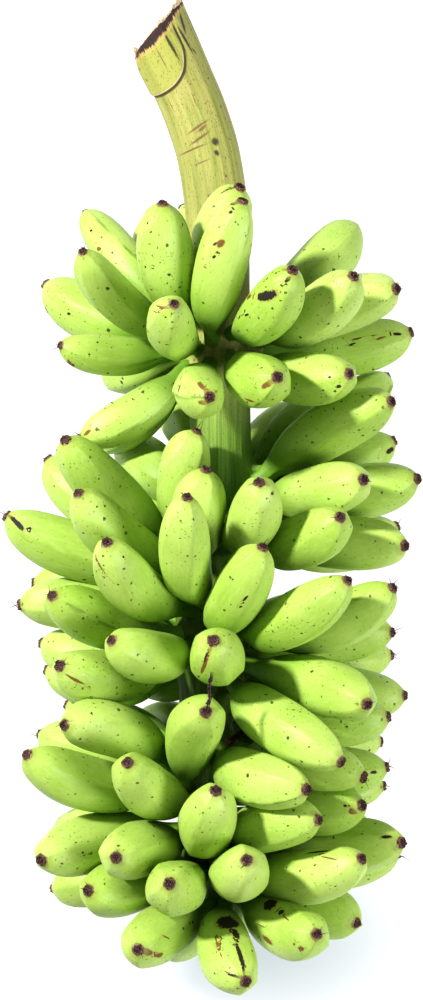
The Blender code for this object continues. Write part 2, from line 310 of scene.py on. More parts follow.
def stalk_places(along, angle):
    """Points on the plain stalk, the way outwards there and the way along it."""
    flat = along.ravel()
    middle = smooth(stalk_line, stalk_knots, flat)
    radius = smooth(stalk_radii, stalk_knots, flat)[:, None]
    beyond = smooth(stalk_line, stalk_knots, flat + FINE_STEP)
    forward = beyond - smooth(stalk_line, stalk_knots, flat - FINE_STEP)
    forward /= np.linalg.norm(forward, axis=1, keepdims=True)
    right = np.cross(forward, (0.0, 0.0, 1.0))
    right /= np.linalg.norm(right, axis=1, keepdims=True)
    turn = angle.ravel()[:, None]
    out = np.cos(turn) * np.cross(right, forward) + np.sin(turn) * right
    return middle + out * radius, out, forward


end_points, _, end_forward = stalk_places(np.full(STALK_SIDES, long), angle)
cut_point = stalk_line[-1] - end_forward[0] * CUT_MIDDLE_BACK
cut_back = ((end_points - cut_point) @ CUT_NORMAL) / (end_forward @ CUT_NORMAL)
near_cut = np.clip((row - long + CUT_BENDS_OVER) / CUT_BENDS_OVER, 0, 1)
along = row[:, None] - near_cut[:, None] * cut_back[None]
around = np.broadcast_to(angle, along.shape)
plain, out, _ = stalk_places(along, around)

swell = np.zeros(along.shape)
for foot_along, foot_angle in zip(feet_along, feet_angle):
    turn = (around - foot_angle + math.pi) % (2 * math.pi) - math.pi
    off = np.hypot(along - foot_along, turn * STALK_MEAN_RADIUS)
    swell = np.maximum(swell, CUSHION_HEIGHT * np.exp(-((off / CUSHION_REACH) ** 2)))

# How far inside the flap's outline each point lies, in millimetres across the surface.
to_mm = np.array([1.0, math.radians(1) * STALK_MEAN_RADIUS * 1000])
corners = np.array(FLAP) * to_mm
for _ in range(FLAP_ROUNDINGS):
    following = np.roll(corners, -1, axis=0)
    quarters = [corners * 0.75 + following * 0.25, corners * 0.25 + following * 0.75]
    corners = np.stack(quarters, axis=1).reshape(-1, 2)
place = np.stack([(long - along) * 1000, np.degrees(around)], axis=2) * to_mm
flap_in = np.full(along.shape, FAR_MM)
crossings = np.zeros(along.shape, int)
for start, stop in zip(corners, np.roll(corners, -1, axis=0)):
    run = stop - start
    share = np.clip(((place - start) @ run) / (run @ run), 0, 1)
    flap_in = np.minimum(flap_in, np.linalg.norm(place - start - share[..., None] * run, axis=2))
    straddles = (start[0] > place[..., 0]) != (stop[0] > place[..., 0])
    reach = start[1] + (place[..., 0] - start[0]) * run[1] / (run[0] if run[0] else 1)
    crossings += straddles & (place[..., 1] < reach)
flap_in = np.where(crossings % 2, flap_in, -flap_in)
flap = FLAP_HEIGHT / (1 + np.exp(-np.clip(flap_in * FLAP_STEEPNESS, -30, 30)))
flap *= np.clip((long - along) / FLAP_FADES_OVER, 0, 1)

fibre = FIBRE_WAVE * np.sin(around * 9 + 2) * np.sin(along * 22)
fibre += FIBRE_RIPPLE * np.sin(around * 23 + 9 * along)
stalk_grid = (plain + out * (swell + flap + fibre).reshape(-1, 1)).reshape(*along.shape, 3)
attributes = {
    "flow": np.stack([np.cos(around), np.sin(around), along], axis=2).reshape(-1, 3),
    "spot": np.stack([place[..., 0], place[..., 1], flap_in], axis=2).reshape(-1, 3),
    "cut": ((long - cut_back)[None] - along).ravel() * 1000,
}

# A short stub of crown at the right, where one finger broke off and left a dry brown scar.
STUB_FROM_END = 0.332
STUB_BEARING = 72
STUB_OUT = 0.035
STUB_STARTS_IN = 0.016
STUB_LEANS = 0.22
STUB_SIDES = 40
STUB_GRAIN = 40
stub_at = np.array([long - STUB_FROM_END])
stub_root, stub_way, stub_side = stalk_places(stub_at, np.radians([STUB_BEARING]))
stub_root = stub_root[0] - stub_way[0] * STUB_STARTS_IN
stub_way = stub_way[0] + STUB_LEANS * stub_side[0]
stub_way /= np.linalg.norm(stub_way)
stub_side = np.cross(stub_way, (0.0, 0.0, 1.0))
stub_other = np.cross(stub_way, stub_side)
stub_turn = np.linspace(0, 2 * math.pi, STUB_SIDES, endpoint=False)
stub_ring = np.cos(stub_turn)[:, None] * stub_side + np.sin(stub_turn)[:, None] * stub_other
# How far out each ring of the stub is, and its radius.
stub_out = np.array([0.0, 0.008, 0.016, 0.022, 0.028, STUB_OUT, STUB_OUT + 0.0006])
stub_size = np.array([0.015, 0.0125, 0.0098, 0.0076, 0.0064, 0.0060, 0.0048])
stub_grid = stub_root + stub_way * stub_out[:, None, None] + stub_ring[None] * stub_size[:, None, None]
stub_points = len(stub_out) * STUB_SIDES
stub_flow = stub_grid[..., (1, 2, 0)] * (STUB_GRAIN, STUB_GRAIN, 1)
stub_spot = (STUB_FROM_END * 1000 - 20, 90.0, -FAR_MM)
attributes["flow"] = np.concatenate([attributes["flow"], stub_flow.reshape(-1, 3)])
attributes["spot"] = np.concatenate([attributes["spot"], np.tile(stub_spot, (stub_points, 1))])
attributes["cut"] = np.concatenate([attributes["cut"], np.full(stub_points, FAR_MM)])
stalk = skin_mesh("stalk_stem", [stalk_grid, stub_grid], attributes)

# Marks on the stalk: millimetres down from its end, degrees round, half length and half width in
# millimetres, degrees turned, and which dye.
RUSSET = (0.17, 0.085, 0.035, 1)
BLACK = (0.025, 0.016, 0.018, 1)
ORANGE = (0.50, 0.20, 0.03, 1)
STALK_MARKS = (
    (84, -6, 9.0, 1.0, 106, RUSSET), (92, -9, 9.0, 1.1, 108, RUSSET), (98.5, -31, 13.0, 0.8, 97, RUSSET),
    (86, 1, 4.0, 1.2, 112, RUSSET), (109, -16, 6.5, 0.5, 100, RUSSET), (97, 17, 2.9, 2.6, 0, BLACK),
    (104.5, 15, 2.3, 1.7, 30, BLACK), (18, 78, 15, 1.0, 6, BLACK), (24, 6, 13, 1.0, 4, BLACK),
    (55, 51, 0.9, 0.8, 0, BLACK), (70, 25, 0.9, 0.9, 0, ORANGE), (75, 56, 1.0, 0.9, 0, RUSSET),
    (79, 74, 3.0, 1.4, 60, ORANGE), (21, 26, 13, 1.0, 1, BLACK), (25, 36, 12, 1.1, 6, BLACK),
    (13, 47, 9, 1.3, -10, BLACK), (34, 45, 3, 0.7, 20, BLACK), (28.5, -73, 1.2, 0.8, 0, RUSSET),
    (38, -69, 1.5, 0.7, 30, RUSSET), (30, -17, 9, 0.4, 2, RUSSET), (15, -3, 1.3, 1.0, 0, BLACK),
    (18, -27, 1.5, 0.8, 40, RUSSET), (62, -40, 5, 0.35, 4, RUSSET), (66, 5, 6, 0.3, 0, RUSSET),
    (121, 25, 1.2, 0.9, 0, RUSSET), (133, -12, 1.0, 0.9, 0, RUSSET), (140, 8, 7, 0.3, 2, RUSSET),
)

bark = Finish("stalk_skin", specular_ior_level=0.35)
flow = bark.vector("flow")
spot = bark.vector("spot")
broad = flow.stretched((5.0, 5.0, 9.0)).clouds(1.0, 3.0)
streak = flow.stretched((22.0, 22.0, 20.0)).clouds(1.0, 4.0, 0.6)
grain = flow.stretched((60.0, 60.0, 380.0)).clouds(1.0, 3.0, 0.65)
down = spot.part("X")
# Further from the cut the stalk turns a darker green. From about 330 mm down, in among the hands, it is
# painted almost black: painted shade where the fingers crowd round it.
low_down = down.rise(215.0, 330.0)
shade_among_hands = down.rise(330.0, 440.0)
dark = low_down.mix((0.225, 0.255, 0.05, 1), (0.07, 0.17, 0.008, 1))
light = low_down.mix((0.405, 0.395, 0.11, 1), (0.19, 0.35, 0.04, 1))
dark = (shade_among_hands * 0.8).mix(dark, (0.03, 0.07, 0.003, 1))
light = (shade_among_hands * 0.8).mix(light, (0.09, 0.16, 0.01, 1))
wood = (broad * 0.55 + streak * 0.6).rise(0.36, 0.76).mix(dark, light)
wood = (grain.fall(0.30, 0.46) * 0.35).mix(wood, dark)
wood = (spot.part("Z").rise(0.0, 1.2) * 0.6).mix(wood, (0.37, 0.385, 0.075, 1))
tint = flow.stretched((3.0, 3.0, 26.0)).clouds(1.0, 2.0).rise(0.5, 0.7) * down.fall(60.0, 190.0)
wood = (tint * 0.35).mix(wood, (0.46, 0.40, 0.15, 1))
freckle = flow.stretched((26.0, 26.0, 600.0)).clouds(1.0, 1.0).rise(0.64, 0.69)
wood = (freckle * 0.75).mix(wood, (0.09, 0.07, 0.025, 1))
ragged = (flow.stretched((70.0, 70.0, 1800.0)).clouds(1.0, 3.0, 0.7) - 0.5) * 1.3
for away, bearing, half_length, half_width, turned, dye in STALK_MARKS:
    centre = (away, bearing * to_mm[1], 0.0)
    sizes = (half_length, half_width, 1000.0)
    turn = (0.0, 0.0, math.radians(turned))
    inputs = {"Vector": spot, "Location": centre, "Rotation": turn, "Scale": sizes}
    local = spot.node("ShaderNodeMapping", {"vector_type": "TEXTURE"}, inputs, "Vector")
    mark = (local.stretched((1.0, 1.0, 0.0)).length() + ragged * 1.5).fall(0.6, 1.2)
    wood = (mark * 0.9).mix(wood, dye)
rim = spot.part("Z") + ragged * 0.6 + 0.2
rim = rim.sum("ABSOLUTE", rim)
lower_rim = down.rise(24.0, 34.0)
wood = (rim.fall(0.6, 1.5) * lower_rim * 0.92).mix(wood, (0.09, 0.05, 0.02, 1))
pale_rim = (spot.part("Z") - 1.1 + ragged * 0.4)
pale_rim = pale_rim.sum("ABSOLUTE", pale_rim)
wood = (pale_rim.fall(0.15, 0.55) * lower_rim * 0.7).mix(wood, (0.66, 0.58, 0.40, 1))
cut_in = bark.value("cut")
middle_cut = ((spot.part("Y") + 1.0) / 13.0) ** 2.0
middle_cut = 1 / (middle_cut * middle_cut + 1.0)
fingered = flow.stretched((34.0, 34.0, 8.0)).clouds(1.0, 2.0) - 0.5
band_edge = cut_in + ragged * 1.8 + fingered * 9.0 - middle_cut * 5.0
torn = (band_edge - ragged * 2.0).fall(3.4, 6.0) * fingered.rise(-0.12, 0.02)
wood = (torn * 0.8).mix(wood, (0.60, 0.38, 0.14, 1))
band = band_edge.fall(1.6, 2.8)
wood = (band * 0.97).mix(wood, (0.030, 0.014, 0.022, 1))
bark.set(base_color=wood, roughness=grain * 0.2 + band * 0.3 + 0.42)
bark.set(normal=bark.bumped(streak * 0.7 + grain * 0.5, 0.45, 0.0016))
stalk.data.materials.append(bark.material)
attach(stalk, "root")
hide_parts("stalk")

# The cut. The stalk was torn as it was cut, which leaves a thin papery edge of dry fibre all
# round it, tallest where it curls up at the right-hand corner.
RIM_SIDES = 200
RIM_HEIGHT = 0.0013
RIM_THICK = 0.0005
RIM_PROUD = 0.0002
RIM_LEAST = 0.0003

# Where the rim curls up: degrees round, how tall in metres, and how many degrees wide.
CURL = ((72, 0.0085, 13), (58, 0.0030, 10), (-60, 0.0020, 9))
CURL_LEANS = 0.8

# The rim's rings, from inside the stalk over its edge and back in: metres past the cut, share of
# the rim's height, share of its lean outwards, and metres inwards.
RIM_RINGS = (
    (-0.0040, 0.0, 0.0, 0.0030), (-0.0006, 0.0, 0.0, 0.0), (0.0, 0.6, 0.35, 0.0), (0.0, 1.0, 1.0, 0.0),
    (-0.0002, 1.0, 1.0, RIM_THICK), (0.0, 0.5, 0.3, RIM_THICK + 0.0002),
    (-0.0025, 0.0, 0.0, 0.0016), (-0.0048, 0.0, 0.0, 0.0060),
)

chance = np.random.default_rng(11)
edge_angle = np.linspace(-math.pi, math.pi, RIM_SIDES, endpoint=False)
edge_back = np.interp(edge_angle, angle, cut_back, period=2 * math.pi)
edge, edge_out, edge_forward = stalk_places(long - edge_back, edge_angle)
edge += edge_out * RIM_PROUD
rise = 0.45 + chance.uniform(0, 1, RIM_SIDES)
rise += 0.5 * np.sin(edge_angle * 11) + 0.4 * np.sin(edge_angle * 29)
rise *= RIM_HEIGHT
lean = np.zeros(RIM_SIDES)
for bearing, tall, spread in CURL:
    turn = (np.degrees(edge_angle) - bearing + 180) % 360 - 180
    bump = np.exp(-((turn / spread) ** 2))
    rise += tall * bump
    lean += CURL_LEANS * tall * bump
rise = np.clip(rise, RIM_LEAST, None)[:, None]
lean = lean[:, None]
rim_grid = np.array(
    [
        edge + edge_forward * (past + tall * rise) + edge_out * (leant * lean - inward)
        for past, tall, leant, inward in RIM_RINGS
    ]
)
paper = Finish("dry_fibre", roughness=0.8, specular_ior_level=0.2)
fray = paper.place().clouds(900.0, 3.0, 0.6)
paper.set(base_color=fray.rise(0.35, 0.65).mix((0.30, 0.17, 0.08, 1), (0.78, 0.66, 0.44, 1)))
paper.set(normal=paper.bumped(fray, 0.5, 0.0006))
cut_rim = skin_mesh("cut_rim", [rim_grid], {})
cut_rim.data.materials.append(paper.material)
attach(cut_rim, "root")

# The fingers. Each is a short plump unripe banana: a narrow stem out of the crown, a body with
# five soft ridges that swells in the middle, and a blunt end that carries the scar of its flower.
# Two neighbours that share one piece of crown are one piece here too.
FINGER_SIDES = 60
FINGER_RINGS = 48
STEM_ROOT = 0.55
RIDGES = 5
FULLNESS = 0.985
RIDGE_HEIGHT = 0.072
BODY_SHARE = (0.0, 0.07, 0.14, 0.21, 0.30, 0.40, 0.52, 0.64, 0.75, 0.84, 0.91, 0.96, 1.0)
BODY_GIRTH = (0.30, 0.33, 0.44, 0.65, 0.85, 0.96, 1.01, 1.02, 0.955, 0.83, 0.665, 0.455, 0.185)
RIDGE_WANDERS = 0.22
RIDGE_BOLDNESS = (0.55, 1.2)
RIDGE_SHARPNESS = 2.4
EDGE_SHARPNESS = 9
THICKNESS_VARIES = 0.03
STEM_FLARE = 0.3
LEAN_BENDS = 1.5
RINGS_CROWD = 1.3
FAR_FROM_SCAR = 9.0
SCAR_REACH = 3.0
MORE_DOTS_ON_TOP = 0.35
FLOW_SHIFT = 0.1

# Lumps of the finger's body: share of its radius, waves round it, and radians of wave along it.
LUMPS = ((0.012, 1, 5), (0.010, 2, -7))

# Fingers that stayed thinner than their neighbours.
SLENDER = {
    "hand_1_pair_08_0": 0.76, "hand_1_pair_08_1": 0.80, "hand_1_pair_09_1": 0.86, "hand_1_pair_02_0": 0.80,
    "hand_1_pair_03_0": 0.82, "hand_1_pair_01_0": 0.92, "hand_1_pair_10_0": 0.90, "hand_1_pair_10_1": 0.92,
}

# How far the tip of a finger leans away from the tip of the CAD's, in millimetres to the right and
# towards the cut.
LEAN = {
    "hand_1_pair_01_0": (-3, -3), "hand_1_pair_01_1": (4, 6), "hand_1_pair_03_0": (7, 4),
    "hand_1_pair_03_1": (4, 2), "hand_1_pair_04_1": (-1, -3), "hand_1_pair_05_1": (-5, 7),
    "hand_1_pair_06_0": (-3, -8), "hand_1_pair_06_1": (-1, -3), "hand_1_pair_08_0": (2, 4),
    "hand_1_pair_08_1": (5, -4), "hand_1_pair_10_0": (0, -3), "hand_1_pair_10_1": (3, 4),
    "hand_1_pair_11_0": (1, -4), "hand_1_pair_11_1": (-1, 4), "hand_2_pair_01_0": (-3, 7),
    "hand_2_pair_02_0": (-4, -3), "hand_2_pair_03_1": (-2, 5), "hand_2_pair_04_1": (-4, 4),
    "hand_2_pair_06_1": (-7, 4), "hand_2_pair_07_0": (8, -2), "hand_2_pair_07_1": (6, -3),
    "hand_2_pair_08_1": (4, 0), "hand_2_pair_09_0": (-1, -6), "hand_2_pair_09_1": (1, 3),
    "hand_3_pair_01_0": (3, 7), "hand_3_pair_01_1": (1, 8), "hand_3_pair_02_0": (-4, -3),
    "hand_3_pair_02_1": (1, 2), "hand_3_pair_03_0": (-2, 4), "hand_3_pair_03_1": (-1, -3),
    "hand_3_pair_04_0": (6, -2), "hand_3_pair_06_0": (6, 0), "hand_3_pair_06_1": (5, 3),
    "hand_3_pair_07_1": (1, 8), "hand_3_pair_08_0": (-3, 2), "hand_3_pair_08_1": (-2, 8),
    "hand_3_pair_09_0": (2, -5), "hand_3_pair_09_1": (3, -2), "hand_3_pair_10_0": (1, 6),
    "hand_3_pair_11_0": (-3, -4), "hand_4_pair_01_0": (3, 2), "hand_4_pair_02_0": (0, -3),
    "hand_4_pair_02_1": (4, 7), "hand_4_pair_03_0": (-4, -2), "hand_4_pair_03_1": (7, 3),
    "hand_4_pair_04_0": (8, -2), "hand_4_pair_04_1": (-6, 5), "hand_4_pair_05_0": (2, -2),
    "hand_4_pair_05_1": (-1, -5), "hand_5_pair_01_0": (7, -4), "hand_5_pair_01_1": (2, 5),
    "hand_5_pair_02_0": (-5, -5), "hand_5_pair_02_1": (-6, 0), "hand_5_pair_03_0": (1, -5),
    "hand_5_pair_03_1": (-5, 7), "hand_5_pair_04_0": (-8, 2), "hand_5_pair_04_1": (2, -8),
    "hand_5_pair_05_0": (0, 6), "hand_5_pair_05_1": (-1, 3), "hand_6_pair_01_0": (7, 4),
    "hand_6_pair_01_1": (-1, -7), "hand_6_pair_02_0": (-2, 8), "hand_6_pair_02_1": (-6, -6),
}

# Large scars: finger, how far along, degrees round from its upper side, half length and half
# width in millimetres, degrees turned, and 1 for brown or 0 for black.
SCARS = {
    "hand_1_pair_02_0": (
        (0.76, -12, 1.4, 1.1, -35, 0), (0.74, -72, 2.4, 0.8, 5, 1), (0.63, -30, 2.0, 1.5, -40, 1),
        (0.55, -12, 1.1, 0.9, -40, 0), (0.72, -42, 0.9, 0.8, -35, 0),
    ),
    "hand_1_pair_02_1": (
        (0.86, -68, 4, 1.2, 50, 0), (0.67, -20, 1.4, 1.1, -25, 0), (0.76, -74, 1.0, 0.8, -60, 0),
        (0.76, 4, 0.7, 0.6, -25, 0),
    ),
    "hand_1_pair_03_1": (
        (0.43, -74, 3.6, 1.4, 50, 0), (0.62, -50, 0.9, 0.8, 75, 0), (0.64, -32, 0.9, 0.8, 85, 0),
        (0.9, -68, 0.8, 0.7, 75, 0), (0.78, -44, 0.8, 0.7, 80, 0),
    ),
    "hand_1_pair_04_0": (
        (0.78, -25, 3.0, 2.4, 5, 1), (0.76, -37, 1.2, 1.0, 65, 0), (0.7, -25, 1.5, 1.1, 35, 0),
        (0.94, -49, 1.4, 1.1, 65, 0), (0.99, -67, 5, 1.6, 40, 0), (0.85, -49, 0.8, 0.7, 60, 0),
        (0.62, -31, 0.8, 0.7, 60, 0),
    ),
    "hand_1_pair_04_1": ((0.98, -73, 1.6, 1.2, 40, 0), (0.94, -73, 2.5, 0.6, 0, 0),),
    "hand_1_pair_05_0": (
        (0.82, -17, 8, 3.6, 35, 0), (0.78, -29, 4, 2.6, 40, 0), (0.62, -65, 6, 2.0, 25, 1),
        (0.29, -71, 5, 1.1, 25, 0), (0.46, -41, 2.2, 1.0, -10, 0), (0.57, -29, 3, 0.8, 20, 0),
        (0.97, 13, 2.2, 1.3, 30, 0), (0.99, -59, 2.6, 1.0, 30, 1), (0.84, -65, 0.8, 0.7, 35, 0),
        (0.94, -59, 0.9, 0.8, 35, 0),
    ),
    "hand_1_pair_06_1": (
        (0.69, -18, 8, 0.5, 0, 1), (0.59, -6, 3, 0.8, -10, 0), (0.8, -6, 4, 0.8, -5, 1),
        (0.92, -6, 3, 1.2, 15, 0),
    ),
    "hand_1_pair_08_0": (
        (0.88, -89, 4.5, 1.5, 35, 1), (0.88, -89, 3, 1.0, -55, 0), (0.58, -65, 1, 0.9, -10, 0),
        (0.73, 31, 1, 0.7, -5, 0), (0.8, -11, 0.8, 0.7, -15, 0),
    ),
    "hand_1_pair_08_1": (
        (0.66, 77, 5, 0.8, 90, 0), (0.66, 77, 1, 0.8, 80, 0), (0.51, 35, 0.9, 0.8, 40, 0),
        (0.94, 11, 3, 1.4, -10, 1),
    ),
    "hand_1_pair_10_0": (
        (0.95, -111, 6, 0.6, 35, 1), (0.98, -99, 4, 0.6, -5, 1), (0.71, -87, 1.3, 1.0, 10, 0),
        (0.94, -57, 0.7, 0.6, 60, 0), (0.9, -105, 3, 0.4, 40, 1),
    ),
    "hand_1_pair_10_1": (
        (0.94, 21, 3.4, 1.6, 10, 1), (0.74, 63, 3, 1.0, 65, 0), (0.98, 129, 4, 1.3, 55, 1),
        (0.99, 21, 3, 1.4, 70, 1),
    ),
    "hand_1_pair_11_0": (
        (0.97, 59, 4.2, 2.0, 5, 1), (0.76, 71, 5, 1.1, 30, 1), (0.92, -19, 0.8, 0.7, -25, 0),
    ),
    "hand_1_pair_11_1": ((0.94, 58, 1.6, 1.2, 55, 0), (0.92, 10, 0.9, 0.8, 15, 0),),
    "hand_2_pair_03_1": ((0.94, 36, 4, 1.8, 25, 0),),
    "hand_2_pair_09_0": (
        (0.92, 1, 6.5, 1.8, 15, 0), (0.97, 7, 3, 1.2, 10, 0), (0.85, 7, 1.0, 0.8, -30, 0),
    ),
    "hand_3_pair_01_0": ((0.92, -85, 9, 0.7, -45, 1), (0.92, 17, 0.9, 0.8, -45, 0),),
    "hand_3_pair_02_0": (
        (0.72, 16, 2.6, 1.0, 15, 0), (0.65, 16, 1.3, 0.9, 30, 0), (0.79, -32, 0.8, 0.7, 50, 0),
    ),
    "hand_3_pair_06_1": ((0.67, 33, 8, 0.5, 45, 1), (0.92, -39, 6, 1.2, -10, 1),),
    "hand_3_pair_08_1": (
        (0.85, -25, 11, 1.3, 10, 1), (0.92, -25, 5, 1.0, 0, 0), (0.64, -37, 3, 0.9, 5, 1),
        (0.99, -13, 2, 0.8, 25, 1),
    ),
    "hand_4_pair_04_1": ((0.97, 32, 3, 1.4, 75, 1), (0.94, -4, 1.0, 0.9, 5, 0),),
    "hand_4_pair_05_1": ((0.92, 7, 2.4, 1.2, 15, 0),),
    "hand_5_pair_04_1": ((0.75, -63, 11, 1.0, 0, 0), (0.85, -39, 8, 0.6, 20, 1),),
    "hand_5_pair_05_0": ((0.95, -33, 3, 1.4, -20, 0),),
    "hand_5_pair_05_1": ((0.72, -54, 12, 1.2, -5, 0), (0.85, -42, 5, 0.8, 0, 0),),
    "hand_6_pair_01_0": (
        (0.99, -37, 5, 2.6, 0, 1), (0.89, -43, 4, 1.6, -10, 1), (0.61, -61, 1.3, 1.0, 20, 0),
        (0.38, -7, 1.3, 1.0, 15, 0), (0.81, -1, 5, 0.6, 30, 1),
    ),
    "hand_6_pair_01_1": (
        (0.47, -31, 11, 8, 20, 0), (0.64, -37, 7, 2.8, 5, 0), (0.87, -25, 15, 1.7, 5, 0),
        (0.97, 41, 6, 0.9, -20, 0), (0.77, 11, 10, 0.5, 20, 1), (0.71, 11, 8, 0.5, 15, 1),
    ),
    "hand_6_pair_02_0": (
        (0.45, -50, 9, 5.5, 10, 0), (0.66, -42, 4, 2.4, 5, 0), (0.59, 28, 7, 2.6, 10, 1),
        (0.91, 58, 2.2, 1.8, 35, 1), (0.77, -32, 5, 0.7, 10, 1),
    ),
}


def finger_frame(finger):
    """Rings of one finger: how far along each is, its middle, size and two directions across it."""
    run = distances(finger["line"])[:, None]
    lean = np.array((*LEAN.get(finger["name"], (0, 0)), 0)) / 1000
    line = finger["line"] + lean * (run / run[-1]) ** LEAN_BENDS
    radii = finger["radii"]
    middle, _ = beside_stalk(line[:1])
    root = middle[0] + (line[0] - middle[0]) * (1 - STEM_ROOT)
    points = np.concatenate([[root], line])
    knots = distances(points)
    stem = knots[1]
    length = knots[-1]
    u = np.linspace(0, 1, FINGER_RINGS)
    at = length * (1 - (1 - u) ** RINGS_CROWD)
    middle = smooth(points, knots, at)
    share = np.clip((at - stem) / (length - stem), 0, 1)
    widest = radii[2:5].max() * FULLNESS * SLENDER.get(finger["name"], 1.0)
    widest *= chance.uniform(1 - THICKNESS_VARIES, 1 + THICKNESS_VARIES)
    size = widest * smooth(np.array(BODY_GIRTH), np.array(BODY_SHARE), share)
    size[at < stem] = radii[0] * (1.0 + STEM_FLARE * (1 - at[at < stem] / stem))
    way = np.gradient(middle, at, axis=0)
    way /= np.linalg.norm(way, axis=1, keepdims=True)
    ahead = np.array([0.0, 1.0, 0.0]) - way * way[:, 1:2]
    ahead /= np.linalg.norm(ahead, axis=1, keepdims=True)
    return at, share, middle, size, way, ahead, np.cross(way, ahead)


def finger_shell(finger):
    """The finger's skin as rings of points, and the values that its points carry."""
    at, share, middle, size, way, ahead, aside = finger_frame(finger)
    angle = np.linspace(0, 2 * math.pi, FINGER_SIDES, endpoint=False)
    across = np.cos(angle)[None, :, None] * ahead[:, None] + np.sin(angle)[None, :, None] * aside[:, None]
    turn = chance.uniform(0, 2 * math.pi)
    peaks = np.arange(RIDGES) + RIDGE_WANDERS * chance.uniform(-1, 1, RIDGES)
    peaks *= 2 * math.pi / RIDGES
    bold = chance.uniform(*RIDGE_BOLDNESS, RIDGES)
    past = (angle - turn) % (2 * math.pi)
    knots = np.concatenate([peaks, [peaks[0] + 2 * math.pi]])
    past = np.where(past < peaks[0], past + 2 * math.pi, past)
    which = np.clip(np.searchsorted(knots, past, side="right") - 1, 0, RIDGES - 1)
    between = (past - knots[which]) / (knots[which + 1] - knots[which])
    bold_here = np.where(between < 0.5, bold[which], bold[(which + 1) % RIDGES])
    ridge = np.abs(2 * between - 1) ** RIDGE_SHARPNESS * bold_here
    edge_line = np.abs(2 * between - 1) ** EDGE_SHARPNESS * bold_here
    near_tip = np.clip((share - 0.7) / 0.3, 0, 1)
    near_stem = np.clip((0.35 - share) / 0.3, 0, 1)
    strength = RIDGE_HEIGHT * (0.85 + near_tip + near_stem)
    factor = 1 + (ridge - ridge.mean())[None] * strength[:, None]
    for (height, round_it, along_it), start in zip(LUMPS, chance.uniform(0, 6.3, len(LUMPS))):
        factor += height * np.sin(round_it * angle + along_it * share[:, None] + start)
    grid = middle[:, None] + across * (size[:, None] * factor)[..., None]
    rings = len(at)
    scar = np.full((rings, FINGER_SIDES, 3), FAR_FROM_SCAR)
    best = np.full((rings, FINGER_SIDES), FAR_FROM_SCAR)
    belly = rings // 2
    top = math.atan2(aside[belly, 2], ahead[belly, 2])
    for place, round_by, half_length, half_width, twist, kind in SCARS.get(finger["name"], ()):
        along = (at - np.interp(place, share, at))[:, None] * np.ones(FINGER_SIDES)
        spin = (angle - top - math.radians(round_by) + math.pi) % (2 * math.pi) - math.pi
        around = spin[None] * size[:, None]
        c, s = math.cos(math.radians(twist)), math.sin(math.radians(twist))
        u = (along * c + around * s) / half_length * 1000
        v = (around * c - along * s) / half_width * 1000
        near = np.hypot(u, v)
        closer = (near < SCAR_REACH) & (near < best)
        best = np.where(closer, near, best)
        scar[closer] = np.stack([u, v, np.full_like(u, kind)], axis=2)[closer]
    flow = np.stack(
        [
            np.cos(angle)[None] * size[:, None] + finger["seed"],
            np.sin(angle)[None] * size[:, None],
            at[:, None] * np.ones(FINGER_SIDES),
        ],
        axis=2,
    )
    values = {
        "along": np.repeat(share, FINGER_SIDES),
        "tone": np.full(rings * FINGER_SIDES, finger["tone"]),
        "clear": np.full(rings * FINGER_SIDES, finger["clear"]),
        "edge": np.tile(edge_line, rings),
        "flow": flow.reshape(-1, 3),
        "scar": scar.reshape(-1, 3),
    }
    return grid, values, (middle[-1], way[-1], size[-1])


skin = Finish("banana_skin", specular_ior_level=0.38)
place = skin.place()
flow = skin.vector("flow")
along = skin.value("along")
tone = skin.value("tone")
edge = skin.value("edge")
patch = place.clouds(24.0, 2.0)
mottle = place.clouds(330.0, 3.0, 0.6)
streak = flow.stretched((1.0, 1.0, 0.14)).clouds(620.0, 3.0, 0.6)
shade = tone * 0.5 + patch.rise(0.3, 0.7) * 0.5
peel = shade.mix((0.31, 0.485, 0.06, 1), (0.475, 0.615, 0.155, 1))
peel = (streak.rise(0.42, 0.75) * 0.3).mix(peel, (0.575, 0.68, 0.25, 1))
peel = (mottle.fall(0.3, 0.5) * 0.16).mix(peel, (0.20, 0.40, 0.03, 1))
# Dark green lines along the ridges: partly the skin's own streaks, partly painted shade beside each ridge.
ridge_streak_and_shade = flow.stretched((1.0, 1.0, 0.25)).clouds(210.0, 2.0).rise(0.45, 0.65)
peel = (edge * ridge_streak_and_shade * 0.35).mix(peel, (0.20, 0.31, 0.04, 1))
# Each finger darkens to a deep green towards its stem: partly the stem's own colour, mostly painted shade
# where the fingers crowd into the crown.
neck_green_and_shade = (along + (patch - 0.5) * 0.2).fall(0.0, 0.6) * 0.85
peel = neck_green_and_shade.mix(peel, (0.10, 0.25, 0.008, 1))
wander = place.clouds(900.0, 1.0, output="Color").stretched((0.0022, 0.0022, 0.0022))
spot_place = place.moved(wander)
speckled = skin.value("clear")
for scale, share_with, small, big, colour, depth in (
    (420.0, 0.72, 0.10, 0.30, (0.10, 0.20, 0.015, 1), 0.7),
    (210.0, 0.68, 0.05, 0.24, (0.05, 0.06, 0.012, 1), 0.9),
    (115.0, 0.74, 0.02, 0.17, (0.028, 0.016, 0.008, 1), 0.92),
):
    pick = spot_place.cells(scale, "Color")
    reach = pick.part("Y") * (big - small) + small
    shown = pick.part("X") > share_with + (speckled - 0.5) * 0.3
    dot = (spot_place.cells(scale) - reach).fall(-0.02, 0.02) * shown
    peel = (dot * depth).mix(peel, colour)
rub_place = flow.stretched((1.0, 1.0, 0.3)).moved((0.37, 0.11, 0.0))
rub = rub_place.clouds(150.0, 4.0, 0.65).rise(0.70, 0.76) * place.clouds(16.0, 1.0).rise(0.52, 0.62)
peel = (rub * 0.8).mix(peel, (0.12, 0.075, 0.02, 1))
scar = skin.vector("scar")
ragged = place.clouds(420.0, 3.0, 0.7)
scar_off = (scar.part("X") ** 2.0 + scar.part("Y") ** 2.0) ** 0.5 + (ragged - 0.5) * 1.1
